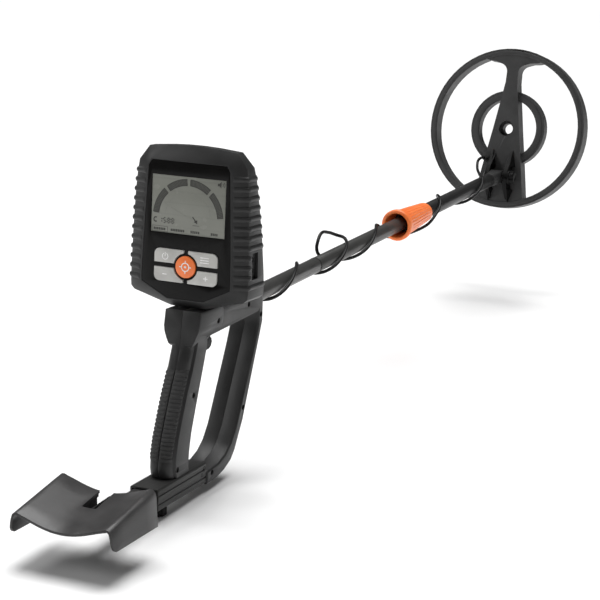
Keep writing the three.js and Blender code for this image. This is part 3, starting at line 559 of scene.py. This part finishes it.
def add_cable():
    knots = [(turned * TURN_SHARE, y, radius) for turned, y, radius in WINDING]
    coils = [wound_point(p.x / TURN_SHARE, p.y, p.z) for p in spline(knots, PER_KNOT)]
    split = COLLAR_KNOT * PER_KNOT
    start = [*(at(BOX, *p) for p in OUT_OF_BOX), *(at(SHAFT, *p) for p in TO_SHAFT)]
    end = [coils[-1], *(at(SHAFT, *p) for p in TO_COIL), *(at(COIL, *p) for p in INTO_GLAND)]
    upper = tube("coil_cable_upper", lead(start, coils[:split + 1]), CABLE_R * MM)
    lower = tube("coil_cable_lower", coils[split:], CABLE_R * MM)
    tail = tube("coil_cable_tail", spline(end, samples=16), CABLE_R * MM)
    for obj in (upper, lower, tail):
        obj.data.materials.append(FINISHES["cable_sheath"])
    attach(lower, "lower_shaft")
    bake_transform(upper)
    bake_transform(tail)
    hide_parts("cable_upper")
    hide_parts("cable_lower")
    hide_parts("cable_tail")


add_cable()


# ---------- twist lock collar ----------
COLLAR_FLUTES = 24
COLLAR_PROFILE = [  # radius, y from the rear face, and how deep the flutes are there
    (16.3, 1.4, 0), (16.6, 0.5, 0), (17.4, 0, 0), (19.7, 0, 0), (20.8, 0.5, 0), (21.3, 1.8, 0),
    (21.3, 6.6, 0), (20.9, 8.0, 0), (20.0, 9.6, 0), (19.1, 11.6, 0), (18.7, 13.6, 0), (18.5, 17, 0.35),
    (18.3, 21, 0.7), (17.8, 33, 0.75), (17.2, 45, 0.75), (16.2, 62, 0.75), (15.0, 80, 0.7), (14.2, 94, 0.5),
    (13.9, 99, 0.1), (13.6, 103.5, 0), (13.3, 106.4, 0), (12.6, 107.9, 0), (11.6, 108, 0), (10.75, 107.6, 0),
    (10.7, 104, 0), (10.7, 74, 0), (13.45, 69.6, 0), (13.5, 24, 0), (14.2, 21, 0), (16.0, 18.2, 0),
]


def lobed(radius, depth, lobes, turn):
    """The radius at an angle of a round shape with hollows of that depth cut into its side."""
    return radius - depth * max(0.0, math.cos(turn * lobes)) ** 1.5


def add_collar():
    sides = COLLAR_FLUTES * 8
    points = []
    for radius, y, depth in COLLAR_PROFILE:
        for turn in turns(sides):
            r = lobed(radius, depth, COLLAR_FLUTES, turn)
            points.append(at(SHAFT, r * math.cos(turn), COLLAR_REAR + y, r * math.sin(turn)))
    faces = [(a, d, c, b) for a, b, c, d in skin(len(COLLAR_PROFILE), sides, looped=True)]
    collar = make_mesh("twist_lock_collar", points, faces)
    dress(collar, "lock_collar", "orange_plastic")
    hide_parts("lock_collar")


add_collar()


# ---------- grip pads ----------
GRIP_REAR = [  # height, y of the grip's rear side
    (-152, -242), (-145, -245.6), (-138, -247), (-128, -246.2), (-108, -241), (-84, -231), (-63, -221.5),
    (-41, -210), (-22, -201.5), (-5, -196),
]
LOBE_HALF = 12.6
LOBE = 10
LOBE_POWER = 0.8  # of the superellipse that the lobe follows
GRIP_LEAN = 0.35  # how much the rear faces downward
SHELL_INSET = 0.6  # how far the shell's rear lobe stands in from the grip line
PAD_LOW, PAD_HIGH = -129.6, -39.4
PAD_FROM, PAD_TO = 7, 89  # degrees round the lobe, from its side to its rear
PAD_ACROSS, PAD_UP = 26, 240  # steps
FADE_SIDE, FADE_REAR, FADE_END = 5, 2, 10  # steps over which the ribs fade out
RIB_PITCH = 4.2
RIB_HEIGHT = 1.0
PAD_DEPTH = 1.7
PAD_LIFT = 0.1
SEAM_HALF = 0.25


def lobe_point(turn, z, out):
    """A point on the rear lobe: turn runs from 0 at its side to 90 degrees at the rear."""
    a = math.radians(turn)
    x = LOBE_HALF * math.cos(a) ** LOBE_POWER
    y = between(GRIP_REAR, z) + (LOBE - SHELL_INSET) * (1 - math.sin(a) ** LOBE_POWER)
    level = Vector((math.cos(a) ** (2 - LOBE_POWER), -math.sin(a) ** (2 - LOBE_POWER), 0)).normalized()
    facing = (level + Vector((0, 0, -GRIP_LEAN * math.sin(a)))).normalized()
    return Vector((x, y, z)) + facing * out


def rib_height(i, j, z):
    """How far the ribbed face stands out at a step across and a step up."""
    fade = min(i / FADE_SIDE, (PAD_ACROSS - i) / FADE_REAR, j / FADE_END, (PAD_UP - j) / FADE_END, 1.0)
    groove = (0.5 + 0.5 * math.cos(2 * math.pi * (z - PAD_LOW) / RIB_PITCH)) ** 2
    return PAD_LIFT + RIB_HEIGHT * fade * (1 - groove)


def add_grip_pad(side, name):
    """A rubber pad with rounded cross ribs that fade out at its edges."""
    points, faces = [], []
    for ribbed in (True, False):  # the outer face, then the inner one
        for j in range(PAD_UP + 1):
            z = PAD_LOW + (PAD_HIGH - PAD_LOW) * j / PAD_UP
            for i in range(PAD_ACROSS + 1):
                turn = PAD_FROM + (PAD_TO - PAD_FROM) * i / PAD_ACROSS
                p = lobe_point(turn, z, rib_height(i, j, z) if ribbed else -PAD_DEPTH)
                points.append(at(SHAFT, side * max(p.x, SEAM_HALF), p.y, p.z))
    row, inner = PAD_ACROSS + 1, len(points) // 2
    for j in range(PAD_UP):
        for i in range(PAD_ACROSS):
            a = j * row + i
            quad = (a, a + 1, a + row + 1, a + row)
            faces += [quad, tuple(inner + k for k in reversed(quad))]
    rim = [*range(row), *(j * row + PAD_ACROSS for j in range(1, PAD_UP + 1)),
           *(PAD_UP * row + i for i in range(PAD_ACROSS - 1, -1, -1)),
           *(j * row for j in range(PAD_UP - 1, 0, -1))]
    faces += [(b, a, inner + a, inner + b) for a, b in zip(rim, rim[1:] + rim[:1])]
    if side > 0:
        faces = [face[::-1] for face in faces]
    pad = make_mesh(f"ribbed_grip_{name}", points, faces)
    dress(pad, "handle", "grip_rubber")
    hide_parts(f"grip_pad_{name}")


for pad_side, pad_name in ((1, "right"), (-1, "left")):
    add_grip_pad(pad_side, pad_name)


# ---------- foot beam ----------
BEAM_SCREWS = [(-3.6, -5.4), (-9.0, -12.0)]  # y, z
BEAM_SCREW_PROFILE = [(16.2, 2.3), (16.75, 2.3), (16.75, 1.7), (16.35, 1.3)]  # x, radius
BEAM_SCREW_SIDES = 24


def add_beam_screws():
    """Recessed screws in the right side of the beam, next to the strut."""
    points, faces = [], []
    for y, z in BEAM_SCREWS:
        faces += skin(len(BEAM_SCREW_PROFILE), BEAM_SCREW_SIDES, len(points))
        points += [at(FOOT, x, y + radius * math.cos(turn), z + radius * math.sin(turn))
                   for x, radius in BEAM_SCREW_PROFILE for turn in turns(BEAM_SCREW_SIDES)]
    dress(make_mesh("beam_screws", points, faces), "handle", "black_plastic")


add_beam_screws()


# ---------- finger ribs of the control box ----------
# z and half width of the side walls and of the face plate, and z and depth of the side walls
WALL_EDGE = [(-61.6, 68.5), (-56.6, 69), (-40, 69), (0, 67.9), (40, 66.2), (60, 64.5), (74, 62.5)]
PLATE_EDGE = [(-54.2, 52.4), (-49.4, 53), (-20, 52.3), (0, 51.5), (40, 49.6), (60, 48.7), (70, 48.2)]
WALL_DEPTH = [(-60, 46), (-49, 45.7), (-27, 43.4), (-5, 40), (16, 36.5), (38, 32), (60, 28.5), (74, 25.5)]
BEVEL_DEPTH = 8
SIDE_RIBS = 12
SIDE_RIB_TOP, SIDE_RIB_PITCH = 62.8, 10.2
SIDE_RIB_HALF = 3.0
SIDE_RIB_HEIGHT = 2.1
SIDE_RIB_SECTION = [  # share of the half width, share of the height or depth below the wall
    (-1.25, -0.6), (-1.0, 0.0), (-0.7, 0.62), (-0.35, 0.93), (0, 1.0), (0.35, 0.93), (0.7, 0.62), (1.0, 0.0),
    (1.25, -0.6),
]
ON_BEVEL = [(0.1, 0), (0.14, 0.25), (0.2, 0.38), (0.35, 0.45), (0.6, 0.6), (0.85, 0.85)]  # way along, height
AT_CORNER = [((-0.5, -0.3), 1), ((-0.05, 0.5), 1)]  # offset from the corner, height
ON_WALL = [(0.08, 1), (0.3, 1), (0.55, 1), (0.8, 1), (0.95, 0.9), (0.99, 0.2)]
SOCKETS = (-46, -10)
SOCKET_PANEL = 11.6  # the ribs beside the socket panel end in front of it


def rib_path(z, side):
    """The points of a rib along the bevel and the wall, each with its share of the full height."""
    plate, wall, deep = between(PLATE_EDGE, z), between(WALL_EDGE, z), between(WALL_DEPTH, z)
    if side > 0 and SOCKETS[0] < z < SOCKETS[1]:
        deep = SOCKET_PANEL
    start, corner, end = Vector((plate, 0)), Vector((wall, BEVEL_DEPTH)), Vector((wall, deep))
    return [*((start + (corner - start) * way, height) for way, height in ON_BEVEL),
            *((corner + Vector(offset), height) for offset, height in AT_CORNER),
            *((corner + (end - corner) * way, height) for way, height in ON_WALL)]


def add_side_ribs(side, name):
    """Finger ribs: each runs from the face plate over the bevel and back along the side wall."""
    points, faces = [], []
    for rib in range(SIDE_RIBS):
        z = SIDE_RIB_TOP - rib * SIDE_RIB_PITCH
        path = rib_path(z, side)
        places = [point for point, _ in path]
        faces += skin(len(path), len(SIDE_RIB_SECTION), len(points))
        neighbours = zip([places[0], *places], [*places[1:], places[-1]])
        for (point, height), (before, after) in zip(path, neighbours):
            run = (after - before).normalized()
            out = Vector((run.y, -run.x))
            for across, up in SIDE_RIB_SECTION:
                p = point + out * (up * height * SIDE_RIB_HEIGHT if up > 0 else up)
                points.append(at(BOX, side * p.x, p.y, z + across * SIDE_RIB_HALF))
    if side < 0:
        faces = [face[::-1] for face in faces]
    dress(make_mesh(f"finger_ribs_{name}", points, faces), "handle", "charcoal_plastic")


for rib_side, rib_name in ((1, "right"), (-1, "left")):
    add_side_ribs(rib_side, rib_name)


# ---------- display ----------
LCD_FRONT = 0.9
LCD_MARK = 0.05
GAUGE_Z = 17.3
GAUGE_OUTER, GAUGE_INNER = 41.2, 34.0
GAUGE_SPANS = [(5.4, 46.4), (51.6, 87.3), (92.7, 128.4), (133.6, 174.6)]  # degrees
GAUGE_STEPS = 14
GAUGE_LINE = 0.8
HATCH_PITCH, HATCH_SLANT = 2.4, 1.6  # degrees
HATCH_LINE = 0.7
READING = "1588"
SEGMENTS = {"1": "bc", "5": "acdfg", "8": "abcdefg"}
DIGIT_X, DIGIT_Z, DIGIT_STEP = -33.4, 10.6, 4.7
DIGIT_WIDTH, DIGIT_HEIGHT, DIGIT_LINE = 3.0, 5.0, 1.05
MODE_BARS = [(-39.8, 7, 2.05), (-19.6, 8, 2.05), (3.6, 5, 2.2), (27.2, 4, 2.1)]  # left end, number, pitch
MODE_BAR = 1.45
MODE_LOW, MODE_HIGH = 2.4, 5.0


def on_gauge(radius, angle):
    return radius * math.cos(angle), GAUGE_Z + radius * math.sin(angle)


def gauge_lines():
    """The rims of the gauge's segments and their slanted hatching."""
    rims, hatching = [], []
    for start, end in GAUGE_SPANS:
        for radius in (GAUGE_OUTER - GAUGE_LINE / 2, GAUGE_INNER + GAUGE_LINE / 2):
            rims += hoop(radius, GAUGE_LINE, start, end, GAUGE_STEPS, 0, GAUGE_Z)
        marks = round((end - start) / HATCH_PITCH)
        for i in range(marks + 1):
            foot = math.radians(start + (end - start) * i / marks)
            head = foot + math.radians(HATCH_SLANT if i < marks else 0)
            hatching += stroke([on_gauge(GAUGE_INNER + HATCH_LINE, foot),
                                on_gauge(GAUGE_OUTER - HATCH_LINE, head)], HATCH_LINE)
    return rims + hatching


def gauge_fills():
    middle, width = (GAUGE_OUTER + GAUGE_INNER) / 2, GAUGE_OUTER - GAUGE_INNER - 2 * GAUGE_LINE
    fills = []
    for start, end in GAUGE_SPANS:
        fills += hoop(middle, width, start, end, GAUGE_STEPS, 0, GAUGE_Z)
    return fills


def speaker_icon():
    waves = [band for radius in (2.2, 4.0) for band in hoop(radius, 0.7, -42, 42, 8, 37.3, 55.9)]
    return [bar(33.2, 34.8, 54.6, 57.2), [(34.8, 54.9), (37.4, 52.6), (37.4, 59.2), (34.8, 56.9)], *waves]


def digit(symbol, x, z):
    """A seven-segment digit with its lower left corner at (x, z)."""
    top, half, right = DIGIT_HEIGHT, DIGIT_HEIGHT / 2, DIGIT_WIDTH
    lines = {
        "a": [(0, top), (right, top)], "b": [(right, half), (right, top)], "c": [(right, 0), (right, half)],
        "d": [(0, 0), (right, 0)], "e": [(0, 0), (0, half)], "f": [(0, half), (0, top)],
        "g": [(0, half), (right, half)],
    }
    gap = DIGIT_LINE * 0.6
    bars = []
    for key in SEGMENTS[symbol]:
        (x0, z0), (x1, z1) = lines[key]
        gap_x, gap_z = (gap, 0) if z0 == z1 else (0, gap)
        bars += stroke([(x + x0 + gap_x, z + z0 + gap_z), (x + x1 - gap_x, z + z1 - gap_z)], DIGIT_LINE)
    return bars


def reading():
    """An open ring and four digits in the lower left corner."""
    marks = hoop(2.3, 1.2, 60, 300, 14, -37.6, 13.2)
    for i, symbol in enumerate(READING):
        marks += digit(symbol, DIGIT_X + i * DIGIT_STEP, DIGIT_Z)
    return marks


def needle():
    """The arrow under the gauge, over a short base line."""
    head = [(7.0, 14.6), (10.9, 16.8), (11.0, 12.6)]
    return [*stroke([(5.4, 19.6), (9.4, 14.8)], 1.1), head, bar(5.8, 13.4, 10.6, 11.0)]


def mode_row():
    """Rows of small bars where the modes are named, with a frame round the first."""
    bars = []
    for x, count, pitch in MODE_BARS:
        bars += [bar(x + i * pitch, x + i * pitch + MODE_BAR, MODE_LOW, MODE_HIGH) for i in range(count)]
    return bars + stroke([(-41.6, 0.9), (-23.4, 0.9), (-23.4, 6.6), (-41.6, 6.6)], 0.35, closed=True)


def traces():
    """Segments that are switched off and show faintly."""
    return hoop(27.0, 0.5, 8, 172, 24, 0, GAUGE_Z) + stroke([(-28, 31), (-8, 22), (10, 15.5)], 0.5)


def add_display():
    icons = [*speaker_icon(), *reading(), *needle(), *mode_row()]
    layers = [  # name, outlines, lift off the panel, ink
        ("display_fills", gauge_fills(), 0.10, LCD_FAINT), ("display_lines", gauge_lines(), 0.16, LCD_INK),
        ("display_icons", icons, 0.12, LCD_INK), ("display_traces", traces(), 0.06, LCD_TRACE),
    ]
    for name, outlines, lift, shade in layers:
        dress(printed(name, outlines, BOX, LCD_FRONT - lift, LCD_MARK), "handle", "lcd", shade)


add_display()


# ---------- marks on the keys ----------
PAD = BOX @ Matrix.Translation(Vector((0, 0, -33.5)) * MM)  # the middle of the round key
KEY_FRONT = -1.3
BUTTON_FRONT = -1.6
PRINT = 0.12
BUTTON_RING = 4.3
BUTTON_TICK = (4.9, 6.9)  # from, to


def add_mark(name, outlines, front, body):
    mark = printed(f"{name}_mark", outlines, PAD, front - PRINT, PRINT)
    dress(mark, body, "key_grey", WHITE_INK)


def add_key_marks():
    """A power sign, a menu sign, a minus and a plus on the keys and a target on the round key."""
    marks = {
        "power": hoop(3.3, 0.8, 118, 422, 28, -24, 9.2) + [bar(-24.4, -23.6, 9.2, 13.4)],
        "menu": [bar(17.2, 27.2, middle - 0.5, middle + 0.5) for middle in (6.8, 9.4, 12.0)],
        "minus": [bar(-26.6, -21.6, -10.3, -9.2)],
        "plus": [bar(21.4, 26.4, -10.3, -9.2), bar(23.35, 24.45, -9.2, -7.3),
                 bar(23.35, 24.45, -12.2, -10.3)],
    }
    for name, outlines in marks.items():
        add_mark(name, outlines, KEY_FRONT, f"pad_{name}")
    target = hoop(BUTTON_RING, 1.0, steps=40) + [arc(1.2, 0, 360, 20)[:-1]]
    for x, z in ((1, 0), (0, 1), (-1, 0), (0, -1)):
        target += stroke([(x * out, z * out) for out in BUTTON_TICK], 1.0)
    add_mark("pinpoint", target, BUTTON_FRONT, "pinpoint_button")


add_key_marks()


# ---------- search coil ----------
EAR_MIDDLE = 14.6  # the ears' middle, from the centre line
EARS_HALF = 20
OFF_FACE = 0.1
LIP_HEIGHT = 1.1
LIP_STEPS = 144
LIP_SHOULDER = [(0, -0.4), (0, 0.45), (0.25, 0.8), (0.6, 1.0), (1.0, LIP_HEIGHT)]
GUSSETS = [(-33, -60, 19), (-117, -96, 18)]  # y of the point, y at the ear, height at the ear
SUNK = -0.3  # how low the gussets start, in the coil's face
PIVOT_Y = 857.5
KNOB_PROFILE = [  # radius, x, how deep the hollows between the lobes are there
    (10.6, 17.95, 0), (11.2, 18.4, 0), (11.3, 20.6, 0), (10.9, 21.2, 0), (9.6, 21.6, 0.6), (10.0, 22.2, 1.5),
    (10.2, 26.2, 1.5), (9.8, 27.6, 1.5), (8.6, 28.4, 1.2), (6.2, 28.7, 0.3), (5.4, 28.7, 0), (5.0, 28.2, 0),
    (0.2, 28.1, 0),
]
KNOB_LOBES = 6
KNOB_SIDES = 72


def add_ring_lip(name, inner, outer, level):
    """A raised land with rounded shoulders on the upper face of a coil ring."""
    section = [(inner + r, level + z) for r, z in LIP_SHOULDER]
    section += [(outer - r, level + z) for r, z in reversed(LIP_SHOULDER)]
    points = [at(COIL, r * math.cos(turn), r * math.sin(turn), z)
              for turn in turns(LIP_STEPS) for r, z in section]
    lip = make_mesh(name, points, skin(LIP_STEPS, len(section), looped=True))
    dress(lip, "coil", "coil_plastic")


def add_hinge_gussets():
    """Webs that brace the hinge ears, wide at the ear and running out to a point on the spoke."""
    points, faces = [], []
    for side in (1, -1):
        for tip, foot, top in GUSSETS:
            first = len(points)
            corners = [(1.5, tip, SUNK), (-5, foot, SUNK), (8, foot, SUNK), (3.4, foot, top),
                       (-3.2, foot, top)]
            points += [at(COIL, side * (EAR_MIDDLE + out), y, z) for out, y, z in corners]
            webs = [(0, 1, 2), (0, 4, 1), (0, 2, 3), (0, 3, 4), (1, 4, 3, 2)]
            inside_out = (side > 0) == (tip < foot)
            faces += [tuple(first + k for k in (web[::-1] if inside_out else web)) for web in webs]
    gussets = make_mesh("hinge_gussets", points, faces, smooth=False)
    dress(gussets, "coil", "black_plastic")


def add_clamp_knob():
    """The knob on the coil bolt: six soft lobes, a waisted skirt and a round cap."""
    points = []
    for radius, x, depth in KNOB_PROFILE:
        for turn in turns(KNOB_SIDES):
            r = lobed(radius, depth, KNOB_LOBES, turn)
            points.append(at(SHAFT, x, PIVOT_Y + r * math.cos(turn), r * math.sin(turn)))
    knob = make_mesh("clamp_knob", points, skin(len(KNOB_PROFILE), KNOB_SIDES))
    dress(knob, "coil_knob", "black_plastic")
    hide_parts("coil_knob")


def blacken_ears():
    """The hinge ears stand off the coil's face and are of the same black as their webs."""
    shell = frame["nodes"]["coil_shell"]
    shell.data.materials.append(FINISHES["black_plastic"])
    to_coil = COIL.inverted()
    for face in shell.data.polygons:
        centre = to_coil @ face.center
        if centre.z > OFF_FACE * MM and abs(centre.x) < EARS_HALF * MM:
            face.material_index = 1


blacken_ears()
add_clamp_knob()
add_ring_lip("outer_ring_lip", 115.4, 121.6, 0)
add_ring_lip("inner_ring_lip", 47, 56, -8)
add_hinge_gussets()


# ---------- light and floor ----------
FLOOR_HALF = 7
WORLD_SEEN, WORLD_CAST = 1.05, 0.1
SUN_FROM = (-0.2, 0.8, 3.0)
SUN_STRENGTH, SUN_SPREAD = 3.6, 45
MIDDLE = (0, 0.3, 0.05)
SOFTBOXES = [  # name, place, target, size, power
    ("right", (2.3, 1.0, 0.9), MIDDLE, (1.4, 1.2), 5),
    ("cuff_left", (-1.6, 0.4, 1.7), (0, -0.2, -0.1), (0.7, 0.7), 9),
    ("left", (-2.2, -1.4, 1.6), MIDDLE, (1.2, 1.2), 20),
]


def add_floor():
    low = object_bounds()[0].z
    corners = [(x * FLOOR_HALF, y * FLOOR_HALF, low) for x, y in ((-1, -1), (1, -1), (1, 1), (-1, 1))]
    floor = make_mesh("floor", corners, [(0, 1, 2, 3)])
    n = Nodes("floor", 0.9)
    n.colour(n.ramp(n.noise(1.2, 2), (0.86, 0.86, 0.86), (0.9, 0.9, 0.9)))
    floor.data.materials.append(n.material)


def add_world():
    """A white surround that gives off less light than it shows."""
    world = bpy.data.worlds.new("studio")
    world.use_nodes = True
    tree = world.node_tree
    background = tree.nodes["Background"]
    background.inputs["Color"].default_value = (1, 1, 1, 1)
    path = tree.nodes.new("ShaderNodeLightPath")
    strength = tree.nodes.new("ShaderNodeMapRange")
    strength.inputs["To Min"].default_value = WORLD_CAST
    strength.inputs["To Max"].default_value = WORLD_SEEN
    tree.links.new(path.outputs["Is Camera Ray"], strength.inputs["Value"])
    tree.links.new(strength.outputs["Result"], background.inputs["Strength"])
    bpy.context.scene.world = world


def add_light(data, place, target):
    light = bpy.data.objects.new(data.name, data)
    light.location = place
    light.rotation_mode = "QUATERNION"
    light.rotation_quaternion = (Vector(place) - Vector(target)).to_track_quat("Z", "Y")
    bpy.context.scene.collection.objects.link(light)


def add_studio():
    add_world()
    sun = bpy.data.lights.new("sun", "SUN")
    sun.energy = SUN_STRENGTH
    sun.angle = math.radians(SUN_SPREAD)
    add_light(sun, SUN_FROM, (0, 0, 0))
    for name, place, target, size, power in SOFTBOXES:
        softbox = bpy.data.lights.new(name, "AREA")
        softbox.shape = "RECTANGLE"
        softbox.size, softbox.size_y = size
        softbox.energy = power
        add_light(softbox, place, target)


add_floor()
add_studio()
bpy.context.scene.view_settings.view_transform = "Standard"
